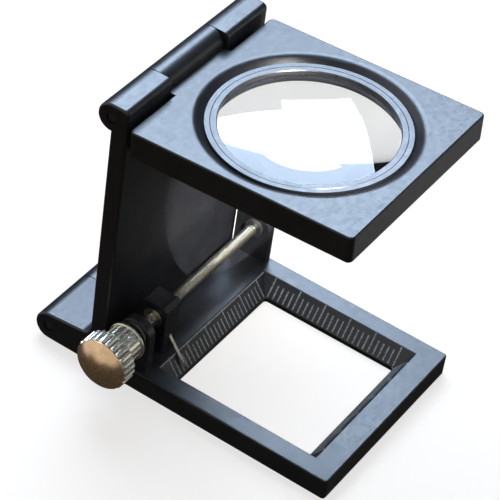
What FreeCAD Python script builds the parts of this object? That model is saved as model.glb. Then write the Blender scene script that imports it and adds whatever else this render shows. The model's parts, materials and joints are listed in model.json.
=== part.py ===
"""Folding linen tester: a stand loupe with a graduated window and a screw-driven pointer.

The base plate carries a square window whose four bevelled edges are divided in millimetres.
An upright is hinged behind the base and carries the lens frame on a second hinge.  The lens
frame folds up and over on to the back of the upright, and the pair then folds under the base.
A fine screw, turned by the knob, drives a carriage whose needle travels along the rear scale.

Frame: millimetres, +Z up, +X to the right along both hinge axes, the window's front towards
-Y.  The origin is the window's centre, in the plane of the base's underside.
"""
import FreeCAD
import Part
import math
import os

from FreeCAD import Vector

# ---- driving dimensions ------------------------------------------------------------------
BASE_HALF_WIDTH = 18.45
BASE_FRONT = -19.3
BASE_REAR = 23.3
BASE_THICKNESS = 3.9
BASE_CORNER_R = 0.6
BASE_EDGE_R = 0.25

WINDOW_HALF = 12.8          # half the window's side, at the sharp lower lip
WINDOW_CORNER = 0.6
BEVEL_RUN = 2.33            # how far the bevel runs out from the lip
LIP_HEIGHT = 0.8
RIM_BREAK = 0.1             # edge break where the bevels meet the base's top

SCALE_LENGTH = 25           # in millimetres, one line a millimetre
SCALE_LONG_EVERY = 5
TICK_WIDTH = 0.26
TICK_DEPTH = 0.12
LONG_TICK = (0.06, 0.965)   # start and end, as shares of the bevel from its lip to its top
SHORT_TICK = (0.06, 0.72)
TICK_NICK = 0.35            # unpainted end of a long line, cut on through the rim
RULE_WIDTH = 0.24           # line along the top of the rear scale
RULE_INSET = 0.25           # from the corners of the rim

LOWER_AXIS_Y = 34.8         # hinge between base and upright
LOWER_AXIS_Z = 2.75
LOWER_KNUCKLE_R = 2.65
LOWER_KNUCKLE_HALF = 6.7    # half the centre knuckle's length

UPPER_AXIS_Y = 26.75        # hinge between upright and lens frame
UPPER_AXIS_Z = 50.9
UPPER_KNUCKLE_R = 2.55
UPPER_KNUCKLE_HALF = 7.35

KNUCKLE_GAP = 0.18          # side play between neighbouring knuckles
PIN_R = 1.0
RUNNING_CLEARANCE = 0.04
PIN_RECESS = 0.3            # how far a pin's end sits inside its knuckle
PIN_CHAMFER = 0.2

UPRIGHT_FRONT = 23.7
UPRIGHT_BACK = 26.75
UPRIGHT_HALF_WIDTH = 18.45
UPRIGHT_BOTTOM = 0.1
UPRIGHT_TOP_R = 1.0         # keeps the top clear of the swinging lens plate
UPRIGHT_HEEL = 1.0
UPRIGHT_SIDE_R = 0.45
ARM_HIGH = 6.0              # top of the hinge arms beside the upright
ARM_FILLET = 1.9
UPPER_SLOT_DEPTH = 0.4      # below the upper centre knuckle

LENS_PLATE_HALF_WIDTH = 19.0
LENS_PLATE_THICKNESS = 4.75
LENS_PLATE_FRONT = 42.8     # in front of the upper axis
LENS_PLATE_REAR = 3.65      # in front of the upper axis
LENS_PLATE_DROP = 0.3       # top face below the upper axis
LENS_PLATE_TILT = 3.0       # degrees; the open frame looks at the window's centre
LENS_CENTRE = 23.2          # in front of the upper axis
LENS_PLATE_CORNER_R = 0.9
LENS_PLATE_EDGE_R = 0.3
LENS_TONGUE = 2.0           # thickness of the bridge from plate to knuckle
TAIL_STOP_REACH = 0.77
TAIL_STOP_HEIGHT = 1.2
TAIL_STOP_INSET = 1.5       # from the plate's sides

CELL_OUTER_R = 15.8
CELL_INNER_R = 15.0
CELL_DEPTH = 4.0
CELL_RECESS = 0.65          # the rings stand below the plate's top
LENS_OPENING_R = 13.9
DISH_R = 17.35              # conical dish round the rings
DISH_DEPTH = 1.3
DISH_ROUND = 1.5
LENS_R = 14.9
LENS_EDGE = 0.7
LENS_TOP_SAG = 1.4
LENS_BOTTOM_SAG = 2.0
LENS_DEPTH = 1.5            # from the plate's top to the lens's edge
RING_BREAK = 0.12

SCREW_Y = 19.0              # axis of the lead screw
SCREW_Z = 10.4
THREAD_R = 1.0              # M2 x 0.4
THREAD_PITCH = 0.4
THREAD_ROOT_R = 0.77
THREAD_CREST = (0.52, 0.68) # crest, as shares of the pitch
THREAD_ROOT = 0.2           # where the flank leaves the root
THREAD_LEFT = -14.5
THREAD_RIGHT = 15.5
THREAD_RUN_OUT = 0.1
SHANK_R = 1.25
SHANK_LEFT = -25.4
JOURNAL_R = 0.72
JOURNAL_RIGHT = 18.3

EAR_HALF_WIDTH = 2.9
LEFT_EAR = (-17.4, -15.6)
RIGHT_EAR = (16.7, 18.45)
RIGHT_EAR_BACK = 3.85         # square rear half of the right ear, behind the screw's axis
EAR_SEAT_DEPTH = 0.5
EAR_EDGE_R = 0.2
EAR_SCREW_INSET = 0.75      # from the ear's left face
EAR_SCREW_SPREAD = 1.7      # either side of the lead screw's axis
EAR_SCREW_R = 0.5           # M1
EAR_SCREW_HEAD_R = 0.8
EAR_SCREW_HEAD = 0.35       # height of the countersunk head
EAR_SCREW_SINK = 0.05       # head below the base's underside
EAR_SCREW_PLAY = 0.08
EAR_SCREW_REACH = 2.0       # into the ear
EAR_SCREW_SLOT = (0.2, 0.25)    # width and depth
LEFT_BUSH_R = 1.8
RIGHT_BUSH_R = 1.25
BUSH_FLANGE = 0.6
LEFT_FLANGE_R = 2.3
RIGHT_FLANGE_R = 1.6

KNOB_R = 4.7
KNOB_LEFT = -26.3
KNOB_STEP = -23.4
KNOB_RIGHT = -19.2
KNOB_CHAMFER = 0.3
KNOB_FLUTES = 24
KNOB_FLUTE = (0.45, 0.3)    # radius and depth
NECK_R = 3.1
NECK_FLUTES = 16
NECK_FLUTE = (0.8, 0.15)
NECK_FLANGE = (0.5, 0.25)   # length and height of the collar at the neck's right end
CAP_R = 4.5
CAP_SEAT_R = 4.0
CAP_SEAT_DEPTH = 0.5
CAP_RISE = 2.0
GRUB_R = 0.6
GRUB_SINK = 0.3
GRUB_SLOT = (0.24, 0.35)
SPRING_WASHER = (2.2, 1.0)  # radius and thickness
SPRING_WASHER_SLIT = 0.4
THRUST_WASHER_R = 2.7
CLIP_R = 1.75
CLIP_THICKNESS = 0.57
CLIP_MOUTH = 1.8
END_PLAY = 0.03

CARRIAGE_CENTRE = -10.5     # the pointer reads 2 mm
CARRIAGE_HALF_LENGTH = 1.95
CARRIAGE_FRONT = 16.5
CARRIAGE_BACK = 21.5
CARRIAGE_TOP = 13.4
CARRIAGE_CHAMFER = 0.7
CARRIAGE_EDGE_R = 0.25
SLIDE_CLEARANCE = 0.05
NUT_R = 1.8

NEEDLE_R = 0.27
NEEDLE_OFFSET = 0.45        # needle's axis above the bevel
NEEDLE_TIP = 0.95           # along the bevel, from its lip
NEEDLE_ROOT = 9.0
NEEDLE_POINT = 1.3          # length of the conical tip
NEEDLE_TIP_R = 0.07
CLAMP_ALONG = 8.3           # where the clamp screw meets the needle, along the bevel
CLAMP_R = 0.6
CLAMP_SINK = 0.1
CLAMP_SLOT = (0.24, 0.25)

MARGIN = 1.0                # how far a cutting tool runs past what it cuts
X_AXIS = Vector(1, 0, 0)
Z_AXIS = Vector(0, 0, 1)

BEVEL_RISE = BASE_THICKNESS - LIP_HEIGHT
BEVEL_LENGTH = math.hypot(BEVEL_RUN, BEVEL_RISE)


# ---- building blocks ---------------------------------------------------------------------
def block(x, y, z):
    """Box between two limits on each axis."""
    return Part.makeBox(x[1] - x[0], y[1] - y[0], z[1] - z[0], Vector(x[0], y[0], z[0]))


def rod(x, y, z, radius):
    """Cylinder along X between two limits, about the line (y, z)."""
    return Part.makeCylinder(radius, x[1] - x[0], Vector(x[0], y, z), X_AXIS)


def ring_z(centre, z, outer, inner):
    """Flat ring about a vertical axis."""
    start = Vector(centre[0], centre[1], z[0])
    height = z[1] - z[0]
    return Part.makeCylinder(outer, height, start).cut(Part.makeCylinder(inner, height, start))


def ring_x(x, outer, inner):
    """Flat ring about the lead screw's axis."""
    return rod(x, SCREW_Y, SCREW_Z, outer).cut(rod(x, SCREW_Y, SCREW_Z, inner))


def prism_x(points, x):
    """Solid with the given outline in the YZ plane, between two limits on X."""
    wire = Part.makePolygon([Vector(x[0], y, z) for y, z in points + points[:1]])
    return Part.Face(wire).extrude(Vector(x[1] - x[0], 0, 0))


def turned_x(profile):
    """Solid of revolution about the lead screw's axis, from (x, radius) points."""
    points = [Vector(x, SCREW_Y, SCREW_Z + radius) for x, radius in profile]
    start = Vector(profile[0][0], SCREW_Y, SCREW_Z)
    end = Vector(profile[-1][0], SCREW_Y, SCREW_Z)
    wire = Part.makePolygon([start] + points + [end, start])
    return Part.Face(wire).revolve(start, X_AXIS, 360)


def square_wire(half, z):
    """Square outline of the given half side, about the origin."""
    corners = [(-half, -half), (half, -half), (half, half), (-half, half), (-half, -half)]
    return Part.makePolygon([Vector(x, y, z) for x, y in corners])


def edges_along(shape, axis, test):
    """Straight edges parallel to an axis whose midpoint passes a test."""
    found = []
    for edge in shape.Edges:
        if len(edge.Vertexes) != 2 or not isinstance(edge.Curve, (Part.Line, Part.LineSegment)):
            continue
        first, last = edge.Vertexes[0].Point, edge.Vertexes[1].Point
        middle = (first + last) * 0.5
        if (last - first).normalize().cross(axis).Length < 1e-6 and test(middle):
            found.append(edge)
    return found


def near(value, target):
    return abs(value - target) < 1e-4


def circles(shape, radius=None, z=None):
    """Circular edges, optionally of one radius or centred at one height."""
    found = [e for e in shape.Edges if isinstance(e.Curve, Part.Circle)]
    if radius is not None:
        found = [e for e in found if near(e.Curve.Radius, radius)]
    if z is not None:
        found = [e for e in found if near(e.Curve.Center.z, z)]
    return found


def edges_in_plane(shape, limits):
    """Edges that lie wholly in either of two planes across X."""
    return [e for e in shape.Edges
            if near(e.BoundBox.XMin, e.BoundBox.XMax)
            and any(near(e.BoundBox.XMin, x) for x in limits)]


def bevel_point(along, above):
    """Point (outward, z) at a distance along the bevel from its lip and above its face."""
    cos, sin = BEVEL_RUN / BEVEL_LENGTH, BEVEL_RISE / BEVEL_LENGTH
    return WINDOW_HALF + along * cos - above * sin, LIP_HEIGHT + along * sin + above * cos


# ---- base --------------------------------------------------------------------------------
def rear_line(start, end, above, limits):
    """Prism of one line on the rear bevel, from TICK_DEPTH below the face to above it."""
    corners = [(start, -TICK_DEPTH), (end, -TICK_DEPTH), (end, above), (start, above)]
    return prism_x([bevel_point(along, height) for along, height in corners], limits)


def scale_lines(above, nick):
    """Lines of all four scales; nick is how far the long ones run on past their paint."""
    ticks = []
    for mark in range(SCALE_LENGTH + 1):
        long = mark % SCALE_LONG_EVERY == 0
        start, end = (share * BEVEL_LENGTH for share in (LONG_TICK if long else SHORT_TICK))
        middle = mark - SCALE_LENGTH / 2
        ticks.append(rear_line(start, end + (nick if long else 0), above,
                               (middle - TICK_WIDTH / 2, middle + TICK_WIDTH / 2)))
    lines = []
    for quarter in (1, 2, 3):
        for tick in ticks:
            line = tick.copy()
            line.rotate(Vector(0, 0, 0), Z_AXIS, 90 * quarter)
            lines.append(line)
    rule_top = LONG_TICK[1] * BEVEL_LENGTH
    rule_end = WINDOW_HALF + BEVEL_RUN - RULE_INSET
    rule = rear_line(rule_top - RULE_WIDTH, rule_top, above, (-rule_end, rule_end))
    rear = rule.multiFuse(ticks).removeSplitter()
    return Part.makeCompound(lines + rear.Solids)


def ear_screw_places(limits):
    """X and Y of the two screws that come up into an ear."""
    return [(limits[0] + EAR_SCREW_INSET, SCREW_Y + side * EAR_SCREW_SPREAD) for side in (-1, 1)]


def base_plate():
    width = (-BASE_HALF_WIDTH, BASE_HALF_WIDTH)
    plate = block(width, (BASE_FRONT, BASE_REAR), (0, BASE_THICKNESS))
    corners = edges_along(plate, Z_AXIS, lambda p: p.y < 0)
    plate = plate.makeFillet(BASE_CORNER_R, corners)
    plate = plate.makeFillet(BASE_EDGE_R, [e for e in plate.Edges
                                           if near(e.BoundBox.ZMin, BASE_THICKNESS)
                                           and not near(e.BoundBox.YMin, BASE_REAR)])

    side = (-WINDOW_HALF, WINDOW_HALF)
    opening = block(side, side, (-MARGIN, BASE_THICKNESS + MARGIN))
    opening = opening.makeFillet(WINDOW_CORNER, edges_along(opening, Z_AXIS, lambda p: True))
    bevel = Part.makeLoft([square_wire(WINDOW_HALF, LIP_HEIGHT),
                           square_wire(WINDOW_HALF + 2 * BEVEL_RUN, LIP_HEIGHT + 2 * BEVEL_RISE)],
                          True, True)
    rim = WINDOW_HALF + BEVEL_RUN
    rim_break = Part.makeLoft([square_wire(rim - RIM_BREAK, BASE_THICKNESS - RIM_BREAK),
                               square_wire(rim + 3 * RIM_BREAK, BASE_THICKNESS + RIM_BREAK)],
                              True, True)
    plate = plate.cut(opening).cut(bevel).cut(rim_break)

    tongue = block((-LOWER_KNUCKLE_HALF, LOWER_KNUCKLE_HALF), (BASE_REAR - MARGIN, LOWER_AXIS_Y),
                   (UPRIGHT_BOTTOM, BASE_THICKNESS))
    knuckle = rod((-LOWER_KNUCKLE_HALF, LOWER_KNUCKLE_HALF), LOWER_AXIS_Y, LOWER_AXIS_Z,
                  LOWER_KNUCKLE_R)
    bore = rod(width, LOWER_AXIS_Y, LOWER_AXIS_Z, PIN_R + RUNNING_CLEARANCE)
    plate = plate.fuse(tongue).fuse(knuckle).removeSplitter().cut(bore)

    for limits, back in ((LEFT_EAR, EAR_HALF_WIDTH), (RIGHT_EAR, RIGHT_EAR_BACK)):
        seat = block(limits, (SCREW_Y - EAR_HALF_WIDTH, SCREW_Y + back),
                     (BASE_THICKNESS - EAR_SEAT_DEPTH, BASE_THICKNESS + MARGIN))
        plate = plate.cut(seat)
        for x, y in ear_screw_places(limits):
            foot = Vector(x, y, 0)
            hole_r = EAR_SCREW_R + EAR_SCREW_PLAY
            countersink = EAR_SCREW_HEAD + 2 * EAR_SCREW_SINK
            plate = plate.cut(Part.makeCylinder(hole_r, BASE_THICKNESS, foot))
            plate = plate.cut(Part.makeCone(EAR_SCREW_HEAD_R + EAR_SCREW_SINK, hole_r,
                                            countersink, foot))
    return plate.cut(scale_lines(TICK_DEPTH / 2, TICK_NICK))


def scale_graduations():
    return scale_lines(0, 0)


def ear(limits, bore_r, back):
    """Ear that carries one end of the lead screw, let into the base's top.

    It is round over the screw, except behind it where back is more than half its width.
    """
    bottom = BASE_THICKNESS - EAR_SEAT_DEPTH
    body = block(limits, (SCREW_Y - EAR_HALF_WIDTH, SCREW_Y + back), (bottom, SCREW_Z))
    body = body.fuse(rod(limits, SCREW_Y, SCREW_Z, EAR_HALF_WIDTH))
    if back > EAR_HALF_WIDTH:
        body = body.fuse(block(limits, (SCREW_Y, SCREW_Y + back), (bottom, SCREW_Z + EAR_HALF_WIDTH)))
    body = body.removeSplitter()
    outline = [e for e in edges_in_plane(body, limits) if not near(e.BoundBox.ZMax, bottom)]
    body = body.makeFillet(EAR_EDGE_R, outline)
    body = body.cut(rod(limits, SCREW_Y, SCREW_Z, bore_r))
    depth = EAR_SCREW_REACH + EAR_SCREW_HEAD
    for x, y in ear_screw_places(limits):
        body = body.cut(Part.makeCylinder(EAR_SCREW_R, depth, Vector(x, y, bottom)))
    return body


def left_screw_bracket():
    return ear(LEFT_EAR, LEFT_BUSH_R, EAR_HALF_WIDTH)


def right_screw_bracket():
    return ear(RIGHT_EAR, RIGHT_BUSH_R, RIGHT_EAR_BACK)


def bracket_screws():
    screws = []
    length = BASE_THICKNESS - EAR_SEAT_DEPTH + EAR_SCREW_REACH
    slot_width, slot_depth = EAR_SCREW_SLOT
    for x, y in ear_screw_places(LEFT_EAR) + ear_screw_places(RIGHT_EAR):
        foot = Vector(x, y, EAR_SCREW_SINK)
        head = Part.makeCone(EAR_SCREW_HEAD_R, EAR_SCREW_R, EAR_SCREW_HEAD, foot)
        stem = Part.makeCylinder(EAR_SCREW_R, length, foot)
        slot = block((x - MARGIN, x + MARGIN), (y - slot_width / 2, y + slot_width / 2),
                     (-MARGIN, slot_depth))
        screws.append(head.fuse(stem).cut(slot))
    return Part.makeCompound(screws)


def left_bearing_bush():
    x = LEFT_EAR
    body = ring_x(x, LEFT_BUSH_R, SHANK_R + RUNNING_CLEARANCE)
    flange = ring_x((x[0] - BUSH_FLANGE, x[0]), LEFT_FLANGE_R, SHANK_R + RUNNING_CLEARANCE)
    return body.fuse(flange).removeSplitter()


def right_bearing_bush():
    x = RIGHT_EAR
    body = ring_x(x, RIGHT_BUSH_R, JOURNAL_R + RUNNING_CLEARANCE)
    flange = ring_x((x[0] - BUSH_FLANGE, x[0]), RIGHT_FLANGE_R, JOURNAL_R + RUNNING_CLEARANCE)
    return body.fuse(flange).removeSplitter()


# ---- hinges ------------------------------------------------------------------------------
def hinge_pin(y, z):
    half = UPRIGHT_HALF_WIDTH - PIN_RECESS
    pin = rod((-half, half), y, z, PIN_R)
    return pin.makeChamfer(PIN_CHAMFER, circles(pin))


def lower_hinge_pin():
    return hinge_pin(LOWER_AXIS_Y, LOWER_AXIS_Z)


def upper_hinge_pin():
    return hinge_pin(UPPER_AXIS_Y, UPPER_AXIS_Z)


# ---- upright -----------------------------------------------------------------------------
def outline_face(x, *runs):
    """Face across X from runs of (y, z) points: two points are a line, three are an arc."""
    edges = []
    for run in runs:
        points = [Vector(x, y, z) for y, z in run]
        if len(points) == 2:
            edges.append(Part.makeLine(*points))
        else:
            edges.append(Part.Arc(*points).toShape())
    return Part.Face(Part.Wire(edges))


def upright_frame():
    width = (-UPRIGHT_HALF_WIDTH, UPRIGHT_HALF_WIDTH)
    diagonal = math.sqrt(0.5)
    front, back, bottom = UPRIGHT_FRONT, UPRIGHT_BACK, UPRIGHT_BOTTOM
    top = UPPER_AXIS_Z + UPPER_KNUCKLE_R
    corner = (front + UPRIGHT_TOP_R, top - UPRIGHT_TOP_R)
    corner_middle = (corner[0] - UPRIGHT_TOP_R * diagonal, corner[1] + UPRIGHT_TOP_R * diagonal)
    foot = (back + ARM_FILLET, ARM_HIGH + ARM_FILLET)
    foot_middle = (foot[0] - ARM_FILLET * diagonal, foot[1] - ARM_FILLET * diagonal)
    knuckle_top = LOWER_AXIS_Z + LOWER_KNUCKLE_R
    face = outline_face(
        width[0],
        [(front, bottom + UPRIGHT_HEEL), (front, corner[1])],
        [(front, corner[1]), corner_middle, (corner[0], top)],
        [(corner[0], top), (UPPER_AXIS_Y, top)],
        [(UPPER_AXIS_Y, top), (UPPER_AXIS_Y + UPPER_KNUCKLE_R, UPPER_AXIS_Z),
         (back, UPPER_AXIS_Z - UPPER_KNUCKLE_R)],
        [(back, UPPER_AXIS_Z - UPPER_KNUCKLE_R), (back, foot[1])],
        [(back, foot[1]), foot_middle, (foot[0], ARM_HIGH)],
        [(foot[0], ARM_HIGH), (LOWER_AXIS_Y, knuckle_top)],
        [(LOWER_AXIS_Y, knuckle_top), (LOWER_AXIS_Y + LOWER_KNUCKLE_R, LOWER_AXIS_Z),
         (LOWER_AXIS_Y, bottom)],
        [(LOWER_AXIS_Y, bottom), (front + UPRIGHT_HEEL, bottom)],
        [(front + UPRIGHT_HEEL, bottom), (front, bottom + UPRIGHT_HEEL)])
    body = face.extrude(Vector(width[1] - width[0], 0, 0))
    body = body.makeFillet(UPRIGHT_SIDE_R, edges_in_plane(body, width))

    upper_gap = UPPER_KNUCKLE_HALF + KNUCKLE_GAP
    lower_gap = LOWER_KNUCKLE_HALF + KNUCKLE_GAP
    in_front = front - MARGIN
    body = body.cut(block((-upper_gap, upper_gap), (in_front, UPPER_AXIS_Y + 2 * UPPER_KNUCKLE_R),
                          (UPPER_AXIS_Z - UPPER_KNUCKLE_R - UPPER_SLOT_DEPTH, top + MARGIN)))
    body = body.cut(block((-lower_gap, lower_gap), (in_front, back),
                          (-MARGIN, BASE_THICKNESS + SLIDE_CLEARANCE)))
    body = body.cut(block((-lower_gap, lower_gap), (back, LOWER_AXIS_Y + 2 * LOWER_KNUCKLE_R),
                          (-MARGIN, foot[1] + MARGIN)))
    for y, z in ((LOWER_AXIS_Y, LOWER_AXIS_Z), (UPPER_AXIS_Y, UPPER_AXIS_Z)):
        body = body.cut(rod(width, y, z, PIN_R))
    return body


# ---- lens frame: built square to the upright, then opened by its tilt ------------------------
LENS_TOP_Z = UPPER_AXIS_Z - LENS_PLATE_DROP
LENS_BOTTOM_Z = LENS_TOP_Z - LENS_PLATE_THICKNESS
LENS_XY = (0, UPPER_AXIS_Y - LENS_CENTRE)


def opened(shape):
    """Lens-frame part at its resting tilt about the upper hinge."""
    shape.rotate(Vector(0, UPPER_AXIS_Y, UPPER_AXIS_Z), X_AXIS, -LENS_PLATE_TILT)
    return shape


def lens_frame():
    rear = UPPER_AXIS_Y - LENS_PLATE_REAR
    plate = block((-LENS_PLATE_HALF_WIDTH, LENS_PLATE_HALF_WIDTH),
                  (UPPER_AXIS_Y - LENS_PLATE_FRONT, rear), (LENS_BOTTOM_Z, LENS_TOP_Z))
    plate = plate.makeFillet(LENS_PLATE_CORNER_R, edges_along(plate, Z_AXIS, lambda p: True))
    plate = plate.makeFillet(LENS_PLATE_EDGE_R,
                             [e for e in plate.Edges if near(e.BoundBox.ZMin, e.BoundBox.ZMax)])

    middle = (-UPPER_KNUCKLE_HALF, UPPER_KNUCKLE_HALF)
    tongue = block(middle, (rear - MARGIN, UPPER_AXIS_Y), (LENS_TOP_Z - LENS_TONGUE, LENS_TOP_Z))
    body = plate.fuse(tongue).fuse(rod(middle, UPPER_AXIS_Y, UPPER_AXIS_Z, UPPER_KNUCKLE_R))
    for side in (-1, 1):
        limits = sorted((side * (UPPER_KNUCKLE_HALF + TAIL_STOP_INSET),
                         side * (LENS_PLATE_HALF_WIDTH - TAIL_STOP_INSET)))
        body = body.fuse(block(limits, (rear - MARGIN, rear + TAIL_STOP_REACH),
                               (LENS_BOTTOM_Z, LENS_BOTTOM_Z + TAIL_STOP_HEIGHT)))
    body = body.removeSplitter()
    body = body.cut(rod(middle, UPPER_AXIS_Y, UPPER_AXIS_Z, PIN_R + RUNNING_CLEARANCE))

    x, y = LENS_XY
    for radius, bottom in ((LENS_OPENING_R, LENS_BOTTOM_Z - MARGIN),
                           (CELL_OUTER_R, LENS_TOP_Z - CELL_DEPTH)):
        height = LENS_TOP_Z + MARGIN - bottom
        body = body.cut(Part.makeCylinder(radius, height, Vector(x, y, bottom)))
    floor = Vector(x, y, LENS_TOP_Z - DISH_DEPTH)
    body = body.cut(Part.makeCone(CELL_OUTER_R, DISH_R, DISH_DEPTH, floor))
    return opened(body.makeFillet(DISH_ROUND, circles(body, DISH_R, LENS_TOP_Z)))


def lens_cell():
    height = (LENS_TOP_Z - CELL_DEPTH, LENS_TOP_Z - CELL_RECESS)
    return opened(ring_z(LENS_XY, height, CELL_OUTER_R, CELL_INNER_R))


def lens_curve(sag):
    """Radius of the sphere that rises by a sag over the lens's half width."""
    return (LENS_R ** 2 + sag ** 2) / (2 * sag)


def rise_at(sag, radius):
    """How far a lens face stands out from its edge, at a distance from the lens's axis."""
    curve = lens_curve(sag)
    return math.sqrt(curve ** 2 - radius ** 2) - (curve - sag)


def lens_retaining_ring():
    """Ring that holds the lens down by its upper face."""
    bottom = LENS_TOP_Z - LENS_DEPTH + rise_at(LENS_TOP_SAG, LENS_OPENING_R)
    top = LENS_TOP_Z - CELL_RECESS
    ring = ring_z(LENS_XY, (bottom, top), CELL_INNER_R, LENS_OPENING_R)
    return opened(ring.makeChamfer(RING_BREAK, circles(ring, z=top)))


def lens_seat_ring():
    """Ring that the lens's lower face stands on."""
    top = LENS_TOP_Z - LENS_DEPTH - LENS_EDGE - rise_at(LENS_BOTTOM_SAG, LENS_OPENING_R)
    return opened(ring_z(LENS_XY, (LENS_TOP_Z - CELL_DEPTH, top), CELL_INNER_R, LENS_OPENING_R))


def lens():
    x, y = LENS_XY
    edge_top = LENS_TOP_Z - LENS_DEPTH
    edge_bottom = edge_top - LENS_EDGE
    half = LENS_R / 2
    top = Part.Arc(Vector(x + LENS_R, y, edge_top),
                   Vector(x + half, y, edge_top + rise_at(LENS_TOP_SAG, half)),
                   Vector(x, y, edge_top + LENS_TOP_SAG)).toShape()
    axis = Part.makeLine(Vector(x, y, edge_top + LENS_TOP_SAG),
                         Vector(x, y, edge_bottom - LENS_BOTTOM_SAG))
    underside = Part.Arc(Vector(x, y, edge_bottom - LENS_BOTTOM_SAG),
                         Vector(x + half, y, edge_bottom - rise_at(LENS_BOTTOM_SAG, half)),
                         Vector(x + LENS_R, y, edge_bottom)).toShape()
    edge = Part.makeLine(Vector(x + LENS_R, y, edge_bottom), Vector(x + LENS_R, y, edge_top))
    outline = Part.Wire([top, axis, underside, edge])
    return opened(Part.Face(outline).revolve(Vector(x, y, 0), Z_AXIS, 360))


# ---- lead screw and knob -------------------------------------------------------------------
def lead_screw():
    """Shank, thread and journal; the thread is drawn as rings of its profile."""
    profile = [(SHANK_LEFT, SHANK_R), (THREAD_LEFT - THREAD_RUN_OUT, SHANK_R),
               (THREAD_LEFT, THREAD_ROOT_R)]
    turns = int(round((THREAD_RIGHT - THREAD_LEFT) / THREAD_PITCH))
    for turn in range(turns):
        start = THREAD_LEFT + turn * THREAD_PITCH
        profile.append((start + THREAD_ROOT * THREAD_PITCH, THREAD_ROOT_R))
        for share in THREAD_CREST:
            profile.append((start + share * THREAD_PITCH, THREAD_R))
        profile.append((start + THREAD_PITCH, THREAD_ROOT_R))
    profile.append((THREAD_RIGHT, JOURNAL_R))
    profile.append((JOURNAL_RIGHT - PIN_CHAMFER, JOURNAL_R))
    profile.append((JOURNAL_RIGHT, JOURNAL_R - PIN_CHAMFER))
    return turned_x(profile)


def fluted(body, x, radius, count, flute):
    """Cut straight flutes along X around the screw's axis."""
    flute_r, depth = flute
    for index in range(count):
        angle = 2 * math.pi * (index + 0.5) / count
        reach = radius + flute_r - depth
        y = SCREW_Y + reach * math.cos(angle)
        z = SCREW_Z + reach * math.sin(angle)
        body = body.cut(rod(x, y, z, flute_r))
    return body


def knob_body():
    drum = turned_x([(KNOB_LEFT, KNOB_R - KNOB_CHAMFER), (KNOB_LEFT + KNOB_CHAMFER, KNOB_R),
                     (KNOB_STEP - KNOB_CHAMFER, KNOB_R), (KNOB_STEP, KNOB_R - KNOB_CHAMFER)])
    drum = fluted(drum, (KNOB_LEFT - MARGIN, KNOB_STEP + MARGIN), KNOB_R, KNOB_FLUTES, KNOB_FLUTE)
    drum = drum.cut(rod((KNOB_LEFT, KNOB_LEFT + CAP_SEAT_DEPTH), SCREW_Y, SCREW_Z, CAP_SEAT_R))
    return drum.cut(rod((SHANK_LEFT, KNOB_STEP), SCREW_Y, SCREW_Z, SHANK_R))


def knob_cap():
    """Domed cap pressed into the knob's outer face."""
    seat = rod((KNOB_LEFT, KNOB_LEFT + CAP_SEAT_DEPTH), SCREW_Y, SCREW_Z, CAP_SEAT_R)
    radius = (CAP_R ** 2 + CAP_RISE ** 2) / (2 * CAP_RISE)
    ball = Part.makeSphere(radius, Vector(KNOB_LEFT - CAP_RISE + radius, SCREW_Y, SCREW_Z))
    dome = ball.common(rod((KNOB_LEFT - 2 * CAP_RISE, KNOB_LEFT), SCREW_Y, SCREW_Z, CAP_R))
    return dome.fuse(seat).removeSplitter()


GRUB_X = (KNOB_STEP + KNOB_RIGHT) / 2


def knob_neck():
    flange_x = KNOB_RIGHT - NECK_FLANGE[0]
    flange_r = NECK_R + NECK_FLANGE[1]
    neck = turned_x([(KNOB_STEP, NECK_R), (flange_x, NECK_R),
                     (flange_x, flange_r), (KNOB_RIGHT, flange_r)])
    neck = fluted(neck, (KNOB_STEP - MARGIN, flange_x), NECK_R, NECK_FLUTES, NECK_FLUTE)
    neck = neck.cut(rod((KNOB_STEP, KNOB_RIGHT), SCREW_Y, SCREW_Z, SHANK_R))
    hole = Part.makeCylinder(GRUB_R, NECK_R, Vector(GRUB_X, SCREW_Y, SCREW_Z - SHANK_R - NECK_R))
    return neck.cut(hole)


def knob_grub_screw():
    """Slotted screw on the underside of the neck that locks the knob to the shank."""
    length = NECK_R - SHANK_R - GRUB_SINK
    slot_width, slot_depth = GRUB_SLOT
    bottom = Vector(GRUB_X, SCREW_Y, SCREW_Z - SHANK_R - length)
    screw = Part.makeCylinder(GRUB_R, length, bottom)
    slot = block((GRUB_X - MARGIN, GRUB_X + MARGIN),
                 (SCREW_Y - slot_width / 2, SCREW_Y + slot_width / 2),
                 (bottom.z - MARGIN, bottom.z + slot_depth))
    return screw.cut(slot).cut(rod((KNOB_STEP, KNOB_RIGHT), SCREW_Y, SCREW_Z, SHANK_R))


def spring_washer():
    """Split ring that keeps the end play out of the screw."""
    radius, thickness = SPRING_WASHER
    x = (KNOB_RIGHT, KNOB_RIGHT + thickness)
    slit = block((x[0] - MARGIN, x[1] + MARGIN), (SCREW_Y - 2 * radius, SCREW_Y),
                 (SCREW_Z - SPRING_WASHER_SLIT / 2, SCREW_Z + SPRING_WASHER_SLIT / 2))
    return ring_x(x, radius, SHANK_R + RING_BREAK).cut(slit)


def thrust_washer():
    x = (KNOB_RIGHT + SPRING_WASHER[1], LEFT_EAR[0] - BUSH_FLANGE)
    return ring_x(x, THRUST_WASHER_R, SHANK_R)


def end_clip():
    """Clip on the shank, inside the left ear, that holds the screw endways."""
    x = (LEFT_EAR[1] + END_PLAY, LEFT_EAR[1] + END_PLAY + CLIP_THICKNESS)
    mouth = block((x[0] - MARGIN, x[1] + MARGIN), (SCREW_Y, SCREW_Y + 2 * CLIP_R),
                  (SCREW_Z - CLIP_MOUTH / 2, SCREW_Z + CLIP_MOUTH / 2))
    return ring_x(x, CLIP_R, SHANK_R).cut(mouth)


# ---- carriage and pointer ------------------------------------------------------------------
CARRIAGE_X = (CARRIAGE_CENTRE - CARRIAGE_HALF_LENGTH, CARRIAGE_CENTRE + CARRIAGE_HALF_LENGTH)


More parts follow.
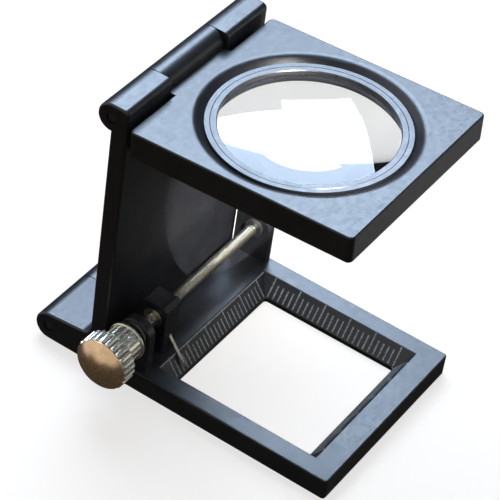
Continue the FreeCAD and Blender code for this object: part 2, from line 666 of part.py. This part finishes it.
def needle_rod(start, end, start_r, end_r):
    """Round rod parallel to the rear bevel, between two distances from its lip."""
    y0, z0 = bevel_point(start, NEEDLE_OFFSET)
    y1, z1 = bevel_point(end, NEEDLE_OFFSET)
    foot = Vector(CARRIAGE_CENTRE, y0, z0)
    direction = Vector(0, y1 - y0, z1 - z0)
    if start_r == end_r:
        return Part.makeCylinder(start_r, end - start, foot, direction)
    return Part.makeCone(start_r, end_r, end - start, foot, direction)


def clamp_rod(right):
    y, z = bevel_point(CLAMP_ALONG, NEEDLE_OFFSET)
    return rod((CARRIAGE_CENTRE + NEEDLE_R, right), y, z, CLAMP_R)


def carriage_block():
    body = block(CARRIAGE_X, (CARRIAGE_FRONT, CARRIAGE_BACK),
                 (BASE_THICKNESS + SLIDE_CLEARANCE, CARRIAGE_TOP))
    upper_edges = edges_along(body, X_AXIS, lambda p: near(p.z, CARRIAGE_TOP))
    body = body.makeChamfer(CARRIAGE_CHAMFER, upper_edges)
    body = body.makeFillet(CARRIAGE_EDGE_R, edges_along(body, Z_AXIS, lambda p: True))
    body = body.cut(rod(CARRIAGE_X, SCREW_Y, SCREW_Z, NUT_R))
    body = body.cut(needle_rod(NEEDLE_TIP + NEEDLE_POINT, NEEDLE_ROOT, NEEDLE_R, NEEDLE_R))
    return body.cut(clamp_rod(CARRIAGE_X[1]))


def carriage_nut():
    return ring_x(CARRIAGE_X, NUT_R, THREAD_R + RUNNING_CLEARANCE)


def pointer_needle():
    stem = needle_rod(NEEDLE_TIP + NEEDLE_POINT, NEEDLE_ROOT, NEEDLE_R, NEEDLE_R)
    point = needle_rod(NEEDLE_TIP, NEEDLE_TIP + NEEDLE_POINT, NEEDLE_TIP_R, NEEDLE_R)
    return stem.fuse(point)


def needle_clamp_screw():
    y, z = bevel_point(CLAMP_ALONG, NEEDLE_OFFSET)
    right = CARRIAGE_X[1] - CLAMP_SINK
    slot_width, slot_depth = CLAMP_SLOT
    slot = block((right - slot_depth, right + MARGIN), (y - MARGIN, y + MARGIN),
                 (z - slot_width / 2, z + slot_width / 2))
    return clamp_rod(right).cut(slot)


# ---- export --------------------------------------------------------------------------------
PIECES = [base_plate, scale_graduations, left_screw_bracket, right_screw_bracket,
          bracket_screws, left_bearing_bush, right_bearing_bush, lower_hinge_pin,
          upright_frame, upper_hinge_pin,
          lens_frame, lens_cell, lens, lens_retaining_ring, lens_seat_ring,
          lead_screw, knob_body, knob_neck, knob_cap, knob_grub_screw,
          spring_washer, thrust_washer, end_clip,
          carriage_block, carriage_nut, pointer_needle, needle_clamp_screw]

os.makedirs("parts", exist_ok=True)
for piece in PIECES:
    solid = piece()
    solid.exportStep(os.path.join("parts", piece.__name__ + ".step"))
    box = solid.BoundBox
    print("%-22s %s solids %3d  volume %9.3f  x %.2f..%.2f  y %.2f..%.2f  z %.2f..%.2f" % (
        piece.__name__, "valid" if solid.isValid() else "INVALID", len(solid.Solids),
        solid.Volume, box.XMin, box.XMax, box.YMin, box.YMax, box.ZMin, box.ZMax))
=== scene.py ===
"""Looks of the folding linen tester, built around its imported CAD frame.

Lengths are written in millimetres and multiplied by MM, because Blender works in metres.
The frame is the CAD one: +X right along the hinges, -Y to the front, +Z up.
"""
import json
import math

import bmesh
import bpy
from mathutils import Matrix, Vector

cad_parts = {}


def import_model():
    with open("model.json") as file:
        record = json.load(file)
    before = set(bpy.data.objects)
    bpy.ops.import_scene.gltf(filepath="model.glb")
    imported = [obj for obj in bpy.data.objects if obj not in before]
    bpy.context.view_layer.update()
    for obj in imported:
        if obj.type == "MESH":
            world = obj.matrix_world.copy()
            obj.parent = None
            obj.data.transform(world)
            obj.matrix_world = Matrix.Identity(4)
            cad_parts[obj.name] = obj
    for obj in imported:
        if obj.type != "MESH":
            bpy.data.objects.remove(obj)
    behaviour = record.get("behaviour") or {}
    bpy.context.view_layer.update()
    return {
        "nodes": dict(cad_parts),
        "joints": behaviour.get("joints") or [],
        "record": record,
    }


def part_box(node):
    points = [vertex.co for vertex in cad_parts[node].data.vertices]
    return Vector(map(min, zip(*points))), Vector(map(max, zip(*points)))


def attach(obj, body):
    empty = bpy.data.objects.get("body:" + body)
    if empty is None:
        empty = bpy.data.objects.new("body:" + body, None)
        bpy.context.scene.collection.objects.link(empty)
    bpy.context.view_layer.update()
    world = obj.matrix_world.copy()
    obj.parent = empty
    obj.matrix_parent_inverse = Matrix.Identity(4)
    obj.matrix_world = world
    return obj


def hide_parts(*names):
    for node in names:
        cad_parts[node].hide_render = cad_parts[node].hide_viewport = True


MM = 0.001

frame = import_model()
NODES = frame["nodes"]
JOINTS = {joint["name"]: joint for joint in frame["joints"]}

# ---- sizes shared with the CAD source --------------------------------------------------------
SCREW_AXIS = Vector(JOINTS["knob_turn"]["pos_m"])
LENS_HINGE = Vector(JOINTS["lens_fold"]["pos_m"])
LENS_TILT = math.radians(3.0)

THREAD_PITCH = 0.4 * MM
THREAD_R = 1.0 * MM
THREAD_ROOT_R = 0.76 * MM
THREAD_LEFT = -14.5 * MM
THREAD_RIGHT = 15.5 * MM
SHANK_R = 1.25 * MM
JOURNAL_R = 0.72 * MM

KNOB_R = 4.7 * MM
KNOB_FLUTES = 24
CAP_R = 4.5 * MM
NECK_R = 3.1 * MM
NECK_FACETS = 16

LENS_R = 14.9 * MM
LENS_OUT = 23.2 * MM        # optical axis in front of the lens hinge
LENS_EDGE_DROP = 1.8 * MM   # lens's upper edge below the hinge
LENS_EDGE = 0.7 * MM
LENS_TOP_SAG = 1.4 * MM
LENS_BOTTOM_SAG = 2.0 * MM

# ---- how finely the round pieces are cut -----------------------------------------------------
THREAD_STEPS = 28           # per turn
SHANK_STEPS = 48
JOURNAL_STEPS = 40
STEPS_PER_FLUTE = 14
STEPS_PER_FACET = 12
KNOB_RIM_STEPS = 6
CAP_STEPS = 96
CAP_CURVE_STEPS = 28
LENS_STEPS = 144
LENS_CURVE_STEPS = 40
TABLE_STEPS = 64

PIECE_SMOOTH_ANGLE = 35.0
KNOB_SMOOTH_ANGLE = 50.0
CAP_SMOOTH_ANGLE = 40.0

# ---- light that polished faces mirror: direction, where it starts and is full, colour --------
MIRRORED_DARK = (0.030, 0.029, 0.028)
MIRRORED_LOBES = (
    ((0, 0, 1), 0.20, 0.90, (0.20, 0.22, 0.25)),
    ((0.66, -0.36, -0.66), 0.90, 0.985, (0.36, 0.36, 0.36)),
    ((0.66, -0.74, -0.04), 0.91, 0.975, (0.86, 0.83, 0.75)),
    ((-0.66, 0.35, -0.67), 0.70, 0.95, (0.060, 0.040, 0.020)),
    ((-0.32, 0.88, 0.30), 0.74, 0.88, (0.92, 0.91, 0.90)),
    ((-0.88, 0.24, 0.40), 0.80, 0.92, (0.92, 0.90, 0.87)),
    ((-0.84, -0.40, 0.36), 0.85, 0.95, (0.80, 0.77, 0.72)),
)


# ---- shader nodes ----------------------------------------------------------------------------
class Graph:
    """Short calls for adding nodes to the shader tree of a material or the world."""

    def __init__(self, tree):
        self.tree = tree

    def node(self, kind, inputs=(), **settings):
        """New node with settings; inputs maps a socket's name or index to a value or a link."""
        made = self.tree.nodes.new(kind)
        for setting, value in settings.items():
            setattr(made, setting, value)
        for socket, value in dict(inputs).items():
            if isinstance(value, bpy.types.NodeSocket):
                self.tree.links.new(value, made.inputs[socket])
            else:
                made.inputs[socket].default_value = value
        return made

    def span(self, value, low, high, to_low=0.0, to_high=1.0):
        """value from low..high to to_low..to_high, clamped, with soft ends."""
        return self.node("ShaderNodeMapRange",
                         {"Value": value, "From Min": low, "From Max": high,
                          "To Min": to_low, "To Max": to_high},
                         interpolation_type="SMOOTHSTEP").outputs[0]

    def math(self, operation, first, second):
        return self.node("ShaderNodeMath", {0: first, 1: second}, operation=operation).outputs[0]

    def dot(self, first, second):
        """Dot product of two directions: 1 where they agree."""
        return self.node("ShaderNodeVectorMath", {0: first, 1: second},
                         operation="DOT_PRODUCT").outputs["Value"]

    def mix(self, factor, first, second):
        """Colour from first to second; each is an (r, g, b) or a link."""
        first, second = (c if isinstance(c, bpy.types.NodeSocket) else (*c, 1.0)
                         for c in (first, second))
        return self.node("ShaderNodeMix", {0: factor, 6: first, 7: second},
                         data_type="RGBA").outputs[2]


class Surface(Graph):
    """A Principled material; lengths in its calls are in millimetres."""

    def __init__(self, name, **constants):
        self.material = bpy.data.materials.new(name)
        self.material.use_nodes = True
        super().__init__(self.material.node_tree)
        self.shader = self.tree.nodes["Principled BSDF"]
        self.coordinates = self.node("ShaderNodeTexCoord").outputs["Object"]
        for socket, value in constants.items():
            self.shader.inputs[socket.replace("_", " ")].default_value = value

    def drive(self, socket, value):
        self.tree.links.new(value, self.shader.inputs[socket])

    def cells(self, x, y, z):
        """Object coordinates, counted in cells of the given size."""
        scale = (1 / (x * MM), 1 / (y * MM), 1 / (z * MM))
        return self.node("ShaderNodeMapping",
                         {"Vector": self.coordinates, "Scale": scale}).outputs[0]

    def noise(self, size, detail=3.0, roughness=0.55, distortion=0.0):
        """Noise from 0 to 1 with features about size across; size is one length or three."""
        sizes = size if isinstance(size, tuple) else (size, size, size)
        return self.node("ShaderNodeTexNoise",
                         {"Vector": self.cells(*sizes), "Scale": 1.0, "Detail": detail,
                          "Roughness": roughness, "Distortion": distortion}).outputs["Fac"]

    def specks(self, spacing, radius):
        """1 inside small round specks scattered at a spacing, 0 elsewhere."""
        distance = self.node("ShaderNodeTexVoronoi",
                             {"Vector": self.cells(spacing, spacing, spacing),
                              "Scale": 1.0}).outputs["Distance"]
        edge = radius / spacing
        return self.span(distance, 0.6 * edge, edge, 1.0, 0.0)

    def bump(self, height, depth, normal=None):
        """Normal of a surface whose height runs over depth."""
        inputs = {"Height": height, "Distance": depth * MM, "Strength": 1.0}
        if normal is not None:
            inputs["Normal"] = normal
        return self.node("ShaderNodeBump", inputs).outputs[0]

    def cavities(self, reach):
        """0 on open faces, rising to 1 in the bottoms of grooves about reach wide."""
        open_sky = self.node("ShaderNodeAmbientOcclusion", {"Distance": reach * MM},
                             samples=16).outputs["AO"]
        return self.span(open_sky, 0.5, 0.92, 1.0, 0.0)

    def edges(self, radius):
        """0 on open faces, rising to 1 along edges, within radius."""
        rounded = self.node("ShaderNodeBevel", {"Radius": radius * MM}, samples=6).outputs[0]
        flat = self.node("ShaderNodeNewGeometry").outputs["Normal"]
        return self.span(self.dot(rounded, flat), 0.8, 0.995, 1.0, 0.0)


# ---- materials -------------------------------------------------------------------------------
def black_enamel():
    """Baked satin enamel: fine orange peel, uneven gloss, dust and a little wear on the edges."""
    deep, faded = (0.0050, 0.0053, 0.0065), (0.0085, 0.0090, 0.0110)
    bare_metal = (0.16, 0.15, 0.14)
    dust = (0.32, 0.31, 0.29)
    s = Surface("black_enamel", IOR=1.5)
    body = s.mix(s.span(s.noise(4.0, detail=4.0), 0.3, 0.7), deep, faded)
    worn = s.math("MULTIPLY", s.edges(0.16), s.span(s.noise(0.7, detail=5.0), 0.52, 0.66))
    body = s.mix(s.math("MULTIPLY", worn, 0.6), body, bare_metal)
    body = s.mix(s.math("MULTIPLY", s.specks(1.7, 0.045), 0.5), body, dust)
    s.drive("Base Color", body)
    gloss = s.span(s.noise(0.9, detail=5.0, roughness=0.65), 0.25, 0.75, 0.285, 0.385)
    rubbed = s.span(s.noise((6.0, 0.25, 0.25), detail=2.0), 0.62, 0.72, 0.0, 0.06)
    s.drive("Roughness", s.math("ADD", gloss, rubbed))
    peel = s.bump(s.noise(0.55, detail=2.0), 0.006)
    s.drive("Normal", s.bump(s.noise(0.09, detail=2.0), 0.0016, peel))
    return s.material


def black_anodised():
    """Turned and anodised aluminium, satin black, with a little rub on its corners."""
    deep, faded = (0.010, 0.0105, 0.0125), (0.017, 0.018, 0.021)
    bare_metal = (0.12, 0.12, 0.125)
    s = Surface("black_anodised", IOR=1.5)
    rub = s.span(s.noise(1.2), 0.5, 0.75, 0.0, 0.35)
    worn = s.math("MULTIPLY", s.edges(0.08), rub)
    s.drive("Base Color", s.mix(worn, s.mix(s.noise(1.5), deep, faded), bare_metal))
    s.drive("Roughness", s.span(s.noise(1.1), 0.25, 0.75, 0.26, 0.36))
    s.drive("Normal", s.bump(s.noise(0.25, detail=2.0), 0.0012))
    return s.material


def scale_paint():
    """Paint wiped into the engraved lines, thin in places and a little dirty."""
    thin, full = (0.10, 0.10, 0.10), (0.34, 0.34, 0.33)
    s = Surface("scale_paint", IOR=1.45)
    s.drive("Base Color", s.mix(s.span(s.noise(0.22, detail=4.0), 0.38, 0.62), thin, full))
    s.drive("Roughness", s.span(s.noise(0.1), 0.3, 0.7, 0.55, 0.8))
    s.drive("Normal", s.bump(s.noise(0.07), 0.006))
    return s.material


def optical_glass():
    """Coated crown glass, with faint smears where it was wiped."""
    tint_low, tint_high = (0.80, 0.805, 0.80), (0.82, 0.825, 0.82)
    s = Surface("optical_glass", IOR=1.52, Transmission_Weight=1.0)
    smears = s.noise(4.0, detail=4.0, distortion=0.6)
    s.drive("Roughness", s.span(smears, 0.5, 0.8, 0.0, 0.04))
    s.drive("Base Color", s.mix(s.noise(9.0), tint_low, tint_high))
    return s.material


def nickel_plate():
    """Bright nickel with fine turning lines and faint stains; its grooves darken towards their
    bottoms, partly grime and partly painted shade.
    """
    bright, stained, grime_and_painted_shade = (0.86, 0.83, 0.72), (0.66, 0.62, 0.50), (0.10, 0.09, 0.06)
    s = Surface("nickel_plate", Metallic=1.0)
    tarnish = s.span(s.noise(0.9, detail=5.0, roughness=0.6), 0.45, 0.75, 0.0, 0.7)
    clean = s.mix(tarnish, bright, stained)
    # Painted shade: groove bottoms are darkened towards a dark olive by ambient occlusion,
    # standing in partly for grime and partly for the shade in the grooves.
    s.drive("Base Color", s.mix(s.math("MULTIPLY", s.cavities(0.35), 0.9), clean, grime_and_painted_shade))
    s.drive("Roughness", s.span(s.noise(0.35, detail=4.0), 0.25, 0.75, 0.25, 0.35))
    s.drive("Normal", s.bump(s.noise((0.05, 0.9, 0.9), detail=2.0), 0.0012))
    return s.material


def brass_cap():
    """Copper-coloured cap under a thin lacquer, stained where fingers hold it."""
    bright, stained = (0.72, 0.50, 0.31), (0.58, 0.37, 0.20)
    s = Surface("brass_cap", Metallic=0.92, Coat_Weight=0.25, Coat_Roughness=0.2)
    stain = s.span(s.noise(1.6, detail=5.0, roughness=0.6), 0.42, 0.72, 0.0, 0.8)
    s.drive("Base Color", s.mix(stain, bright, stained))
    s.drive("Roughness", s.span(s.noise(0.5, detail=4.0), 0.25, 0.75, 0.22, 0.32))
    s.drive("Normal", s.bump(s.noise(0.4, detail=2.0), 0.0007))
    return s.material


def dark_steel():
    """Blackened steel with its oil finish rubbed off along the edges."""
    deep, faded = (0.045, 0.045, 0.050), (0.085, 0.083, 0.085)
    bare_metal = (0.35, 0.34, 0.33)
    s = Surface("dark_steel", Metallic=0.85)
    rub = s.span(s.noise(0.4, detail=4.0), 0.4, 0.6, 0.2, 1.0)
    rubbed = s.math("MULTIPLY", s.edges(0.12), rub)
    body = s.mix(s.noise(0.8, detail=4.0), deep, faded)
    s.drive("Base Color", s.mix(rubbed, body, bare_metal))
    s.drive("Roughness", s.span(s.noise(0.4, detail=4.0), 0.25, 0.75, 0.28, 0.48))
    s.drive("Normal", s.bump(s.noise(0.08), 0.003))
    return s.material


MATERIALS = {make.__name__: make() for make in (
    black_enamel, black_anodised, scale_paint, optical_glass, nickel_plate, brass_cap, dark_steel)}


def paint_cad_nodes():
    """Give every carried-over CAD node the finish that its record slot names."""
    for row in frame["record"]["subparts"]:
        mesh = NODES[row["node"]].data
        mesh.materials.clear()
        mesh.materials.append(MATERIALS[row["material_slot"]])


# ---- mesh building ---------------------------------------------------------------------------
def add_object(builder, name, material):
    """Object made from a bmesh, in the scene and with one material."""
    mesh = bpy.data.meshes.new(name)
    builder.to_mesh(mesh)
    builder.free()
    mesh.materials.append(material)
    made = bpy.data.objects.new(name, mesh)
    bpy.context.scene.collection.objects.link(made)
    return made


def finish_piece(builder, name, body, slot, replaced, smooth_angle=PIECE_SMOOTH_ANGLE):
    """Turn a bmesh into a shaded piece that rides on a body in place of CAD nodes."""
    bmesh.ops.remove_doubles(builder, verts=builder.verts, dist=1e-7)
    bmesh.ops.recalc_face_normals(builder, faces=builder.faces)
    limit = math.radians(smooth_angle)
    for face in builder.faces:
        face.smooth = True
    for edge in builder.edges:
        edge.smooth = not edge.is_manifold or edge.calc_face_angle() < limit
    piece = add_object(builder, name, MATERIALS[slot])
    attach(piece, body)
    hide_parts(*replaced)
    return piece


def screw_point(x, radius, angle):
    """Point about the lead screw's axis."""
    return Vector((x, SCREW_AXIS.y + radius * math.cos(angle),
                   SCREW_AXIS.z + radius * math.sin(angle)))


def add_lathe(builder, profile, segments, point=screw_point, cut=None):
    """Closed surface of revolution from (along, radius) or (along, radius, cut depth) points.

    cut(angle) is the share of each ring's cut depth that is taken off its radius.
    """
    rings = []
    for row in profile:
        along, radius = row[:2]
        depth = row[2] if len(row) == 3 else 0.0
        if radius == 0.0:
            rings.append([builder.verts.new(point(along, 0.0, 0.0))])
            continue
        ring = []
        for index in range(segments):
            angle = 2 * math.pi * index / segments
            taken = depth * cut(angle) if cut else 0.0
            ring.append(builder.verts.new(point(along, radius - taken, angle)))
        rings.append(ring)
    for first, second in zip(rings, rings[1:]):
        for index in range(segments):
            following = (index + 1) % segments
            corners = [first[index % len(first)], first[following % len(first)],
                       second[following % len(second)], second[index % len(second)]]
            unique = list(dict.fromkeys(corners))
            if len(unique) > 2:
                builder.faces.new(unique)


def arc(centre, radius, start, end, steps):
    """Points (along, radius) of a round edge between two angles in degrees."""
    points = []
    for step in range(steps + 1):
        angle = math.radians(start + (end - start) * step / steps)
        points.append((centre[0] + radius * math.cos(angle),
                       centre[1] + radius * math.sin(angle)))
    return points


# ---- lead screw ------------------------------------------------------------------------------
def add_thread(builder):
    """Right-hand thread as one helical strip, cut off square and closed at both ends."""
    root_end, crest_start, crest_end = 0.06, 0.46, 0.60     # shares of the pitch
    profile = [(0.0, THREAD_ROOT_R), (root_end, THREAD_ROOT_R),
               (crest_start, THREAD_R), (crest_end, THREAD_R)]
    spare = 2                   # turns beyond each end, cut off below
    into_shank = 0.05 * MM
    turns = round((THREAD_RIGHT - THREAD_LEFT) / THREAD_PITCH) + 2 * spare
    strips = []
    for step in range(THREAD_STEPS * turns + 1):
        angle = 2 * math.pi * step / THREAD_STEPS
        x = THREAD_LEFT + (step / THREAD_STEPS - spare) * THREAD_PITCH
        strips.append([builder.verts.new(screw_point(x + share * THREAD_PITCH, radius, angle))
                       for share, radius in profile])
    last = len(profile) - 1
    for step in range(THREAD_STEPS * (turns - 1)):
        here, there = strips[step], strips[step + 1]
        for index in range(last):
            builder.faces.new((here[index], here[index + 1], there[index + 1], there[index]))
        above, beside = strips[step + THREAD_STEPS], strips[step + THREAD_STEPS + 1]
        builder.faces.new((here[last], above[0], beside[0], there[last]))
    for x, side in ((THREAD_LEFT - into_shank, -1), (THREAD_RIGHT, 1)):
        geometry = builder.verts[:] + builder.edges[:] + builder.faces[:]
        bmesh.ops.bisect_plane(builder, geom=geometry, plane_co=(x, 0, 0), plane_no=(side, 0, 0),
                               clear_outer=True, dist=1e-8)
    open_edges = [edge for edge in builder.edges if edge.is_boundary]
    bmesh.ops.holes_fill(builder, edges=open_edges, sides=0)


def lead_screw():
    """Shank, right-hand metric thread and journal."""
    low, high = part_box("lead_screw")
    bevel = 0.15 * MM
    shank_end = THREAD_LEFT - 0.1 * MM
    journal_start = THREAD_RIGHT - 0.1 * MM
    builder = bmesh.new()
    add_thread(builder)
    add_lathe(builder, [(low.x, 0.0), (low.x, SHANK_R - bevel), (low.x + bevel, SHANK_R),
                        (shank_end - bevel, SHANK_R), (shank_end, SHANK_R - bevel),
                        (THREAD_LEFT, THREAD_ROOT_R), (THREAD_LEFT, 0.0)], SHANK_STEPS)
    add_lathe(builder, [(journal_start, 0.0), (journal_start, JOURNAL_R),
                        (high.x - bevel, JOURNAL_R), (high.x, JOURNAL_R - bevel),
                        (high.x, 0.0)], JOURNAL_STEPS)
    finish_piece(builder, "lead_screw_threaded", "adjuster", "nickel_plate", ["lead_screw"])


# ---- knob ------------------------------------------------------------------------------------
def flute_shape(count, land):
    """Depth from 0 on a ridge to 1 in a groove, for straight flutes with crowned ridges."""
    groove_floor = 0.96         # where the groove's flat floor starts, as land is for the ridge
    crown = 0.14                # share of the depth that rounds the ridge

    def depth(angle):
        across = abs(2 * ((angle * count / (2 * math.pi)) % 1.0) - 1)
        share = min(max((across - land) / (groove_floor - land), 0.0), 1.0)
        return crown * across ** 2 + (1 - crown) * share * share * (3 - 2 * share)
    return depth


def knob_drum():
    """Fluted drum of the knob, with a turned lip round the cap and a bored middle."""
    low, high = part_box("knob_body")
    depth = 0.42 * MM
    round_r = 0.35 * MM
    core_r = KNOB_R - round_r
    seat_r = CAP_R - 0.3 * MM
    seat = low.x + 0.5 * MM
    rims = (arc((low.x + round_r, core_r), round_r, 180, 90, KNOB_RIM_STEPS)
            + arc((high.x - round_r, core_r), round_r, 90, 0, KNOB_RIM_STEPS))
    profile = [(seat, SHANK_R), (seat, seat_r), (low.x, seat_r)]
    profile += [(along, radius, depth * max(0.0, (radius - core_r) / round_r))
                for along, radius in rims]
    profile += [(high.x, SHANK_R), (seat, SHANK_R)]
    builder = bmesh.new()
    add_lathe(builder, profile, KNOB_FLUTES * STEPS_PER_FLUTE, cut=flute_shape(KNOB_FLUTES, 0.34))
    finish_piece(builder, "knob_drum", "adjuster", "nickel_plate", ["knob_body"],
                 KNOB_SMOOTH_ANGLE)


def knob_collar():
    """Neck between drum and spring washer, with shallow flutes and a plain flange."""
    low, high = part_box("knob_neck")
    left, right = low.x, high.x
    flange_left = right - 0.5 * MM
    flange_r = NECK_R + 0.25 * MM
    edge = 0.1 * MM
    depth = 0.16 * MM
    profile = [(left, SHANK_R), (left, NECK_R, depth), (flange_left - edge, NECK_R, depth),
               (flange_left, NECK_R), (flange_left, flange_r - edge),
               (flange_left + edge, flange_r), (right - edge, flange_r),
               (right, flange_r - edge), (right, SHANK_R), (left, SHANK_R)]
    builder = bmesh.new()
    add_lathe(builder, profile, NECK_FACETS * STEPS_PER_FACET, cut=flute_shape(NECK_FACETS, 0.5))
    finish_piece(builder, "knob_collar", "adjuster", "nickel_plate", ["knob_neck"],
                 KNOB_SMOOTH_ANGLE)


def knob_dome():
    """Domed cap with a rolled rim, pressed into the drum."""
    low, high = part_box("knob_cap")
    rise = 2.0 * MM
    roll = 0.22 * MM
    spigot_r = CAP_R - 0.32 * MM
    rim = low.x + rise
    curve = (CAP_R ** 2 + rise ** 2) / (2 * rise)
    centre = low.x + curve
    reach = math.asin((CAP_R - roll) / curve)
    profile = [(low.x, 0.0)]
    for step in range(1, CAP_CURVE_STEPS + 1):
        angle = reach * step / CAP_CURVE_STEPS
        profile.append((centre - curve * math.cos(angle), curve * math.sin(angle)))
    profile += [(profile[-1][0] + roll * 0.25, CAP_R - roll * 0.35), (rim - roll * 0.4, CAP_R),
                (rim, CAP_R), (rim, spigot_r), (high.x, spigot_r), (high.x, 0.0)]
    builder = bmesh.new()
    add_lathe(builder, profile, CAP_STEPS)
    finish_piece(builder, "knob_dome", "adjuster", "brass_cap", ["knob_cap"], CAP_SMOOTH_ANGLE)


# ---- lens ------------------------------------------------------------------------------------
def lens():
    """Unequal biconvex lens, ground smooth, with a fine chamfer on both rims."""
    opened = Matrix.Rotation(-LENS_TILT, 4, "X")

    def point(along, radius, angle):
        flat = Vector((radius * math.cos(angle), radius * math.sin(angle) - LENS_OUT, along))
        return LENS_HINGE + opened @ flat

    def rise(sag, radius):
        curve = (LENS_R ** 2 + sag ** 2) / (2 * sag)
        return math.sqrt(curve ** 2 - radius ** 2) - (curve - sag)

    top = -LENS_EDGE_DROP
    bottom = top - LENS_EDGE
    bevel = 0.12 * MM
    radii = [(LENS_R - bevel) * step / LENS_CURVE_STEPS for step in range(LENS_CURVE_STEPS + 1)]
    profile = [(top + rise(LENS_TOP_SAG, radius), radius) for radius in radii]
    profile += [(top - bevel, LENS_R), (bottom + bevel, LENS_R)]
    profile += [(bottom - rise(LENS_BOTTOM_SAG, radius), radius) for radius in reversed(radii)]
    builder = bmesh.new()
    add_lathe(builder, profile, LENS_STEPS, point)
    piece = finish_piece(builder, "magnifier_lens", "lens_head", "optical_glass", ["lens"])
    piece.visible_shadow = False


# ---- studio ----------------------------------------------------------------------------------
def ground(name, outline, height, material):
    """Level stage piece with an outline in metres."""
    builder = bmesh.new()
    builder.faces.new([builder.verts.new((x, y, height)) for x, y in outline])
    piece = add_object(builder, name, material)
    return piece


def floor():
    """Pale, faintly glowing floor, and the dim table that polished faces mirror instead of it."""
    paper = Surface("floor_paper", Roughness=0.9, Emission_Color=(1.0, 1.0, 1.0, 1.0),
                    Emission_Strength=0.70)
    paper.drive("Base Color", paper.mix(paper.noise(60.0), (0.19, 0.155, 0.125),
                                        (0.20, 0.165, 0.135)))
    half = 6.0
    square = [(-half, -half), (half, -half), (half, half), (-half, half)]
    sheet = ground("floor", square, -0.02 * MM, paper.material)
    sheet.visible_glossy = False
    sheet.visible_diffuse = False

    dim = Surface("mirrored_table", Base_Color=(0.0, 0.0, 0.0, 1.0), Roughness=1.0,
                  Emission_Color=(0.040, 0.034, 0.028, 1.0), Emission_Strength=1.0)
    middle, reach = 5.0 * MM, 52.0 * MM
    angles = [2 * math.pi * step / TABLE_STEPS for step in range(TABLE_STEPS)]
    circle = [(middle + reach * math.cos(angle), middle + reach * math.sin(angle))
              for angle in angles]
    table = ground("mirrored_table", circle, -0.1 * MM, dim.material)
    table.visible_camera = False
    table.visible_diffuse = False
    table.visible_transmission = False
    table.visible_shadow = False


def lamp(name, kind, place, target, power, colour, **settings):
    """Light at a place, aimed at a target, both in metres."""
    data = bpy.data.lights.new(name, kind)
    data.energy = power
    data.color = colour
    for setting, value in settings.items():
        setattr(data, setting, value)
    light = bpy.data.objects.new(name, data)
    light.location = place
    light.rotation_euler = (target - place).to_track_quat("-Z", "Y").to_euler()
    bpy.context.scene.collection.objects.link(light)


def direction(azimuth, elevation):
    """Unit vector towards an azimuth from +X and an elevation, in degrees."""
    a, e = math.radians(azimuth), math.radians(elevation)
    return Vector((math.cos(a) * math.cos(e), math.sin(a) * math.cos(e), math.sin(e)))


def studio_lights():
    """Cool panel from the right rear, and a narrow beam through the lens on to the upright."""
    middle = Vector((0, 0.005, 0.025))
    panel = middle + 0.6 * direction(43, 52.5)
    lamp("sky_panel", "AREA", panel, middle, 9.9, (0.60, 0.765, 1.0), size=0.42)

    patch = Vector((0.0108, 0.0237, 0.0175))
    through = LENS_HINGE + Vector((0, -LENS_OUT, -LENS_EDGE_DROP))
    snoot = patch + 0.8 * (through - patch).normalized()
    beam_r = 12.9 * MM          # at the lens
    lamp("snoot", "SPOT", snoot, through, 165.0, (1.0, 0.98, 0.96), shadow_soft_size=0.003,
         spot_size=2 * math.atan(beam_r / (snoot - through).length), spot_blend=0.08)


def world():
    """Plain pale room for the camera, and softer, uneven light for what the metal mirrors."""
    made = bpy.data.worlds.new("studio")
    made.use_nodes = True
    bpy.context.scene.world = made
    made.node_tree.nodes.clear()
    room = Graph(made.node_tree)

    rays = room.node("ShaderNodeLightPath").outputs
    outwards = room.node("ShaderNodeTexCoord").outputs["Generated"]
    mirrored = MIRRORED_DARK
    for axis, start, full, colour in MIRRORED_LOBES:
        facing = room.dot(outwards, Vector(axis).normalized())
        mirrored = room.mix(room.span(facing, start, full), mirrored, colour)
    height = room.node("ShaderNodeSeparateXYZ", {0: outwards}).outputs["Z"]
    fill = room.mix(room.span(height, -0.1, 0.3), (0.04, 0.04, 0.04), (0.42, 0.44, 0.47))
    seen = room.mix(rays["Is Diffuse Ray"], (0.95, 0.95, 0.95), fill)
    seen = room.mix(rays["Is Glossy Ray"], seen, mirrored)
    background = room.node("ShaderNodeBackground", {"Color": seen, "Strength": 1.0})
    room.node("ShaderNodeOutputWorld", {"Surface": background.outputs[0]})


def camera():
    """Long lens from the front left and above, with the slight roll of a hand-held camera."""
    azimuth, elevation, roll = math.radians(-61.74), math.radians(41.76), math.radians(8.98)
    distance = 394.0 * MM
    forward = Vector((-math.sin(azimuth) * math.cos(elevation),
                      math.cos(azimuth) * math.cos(elevation), -math.sin(elevation)))
    level = forward.cross(Vector((0, 0, 1))).normalized()
    right = math.cos(roll) * level + math.sin(roll) * level.cross(forward)
    up = right.cross(forward)
    place = Vector((7.4, 14.2, 14.4)) * MM - distance * forward
    data = bpy.data.cameras.new("camera")
    data.lens = 174.0
    data.sensor_width = 36.0
    data.clip_start = 0.01
    made = bpy.data.objects.new("camera", data)
    turn = Matrix((right, up, -forward)).transposed().to_4x4()
    made.matrix_world = Matrix.Translation(place) @ turn
    bpy.context.scene.collection.objects.link(made)
    bpy.context.scene.camera = made


# ---- build -----------------------------------------------------------------------------------
paint_cad_nodes()
lead_screw()
knob_drum()
knob_collar()
knob_dome()
lens()
floor()
studio_lights()
world()
camera()
bpy.context.scene.view_settings.view_transform = "Standard"
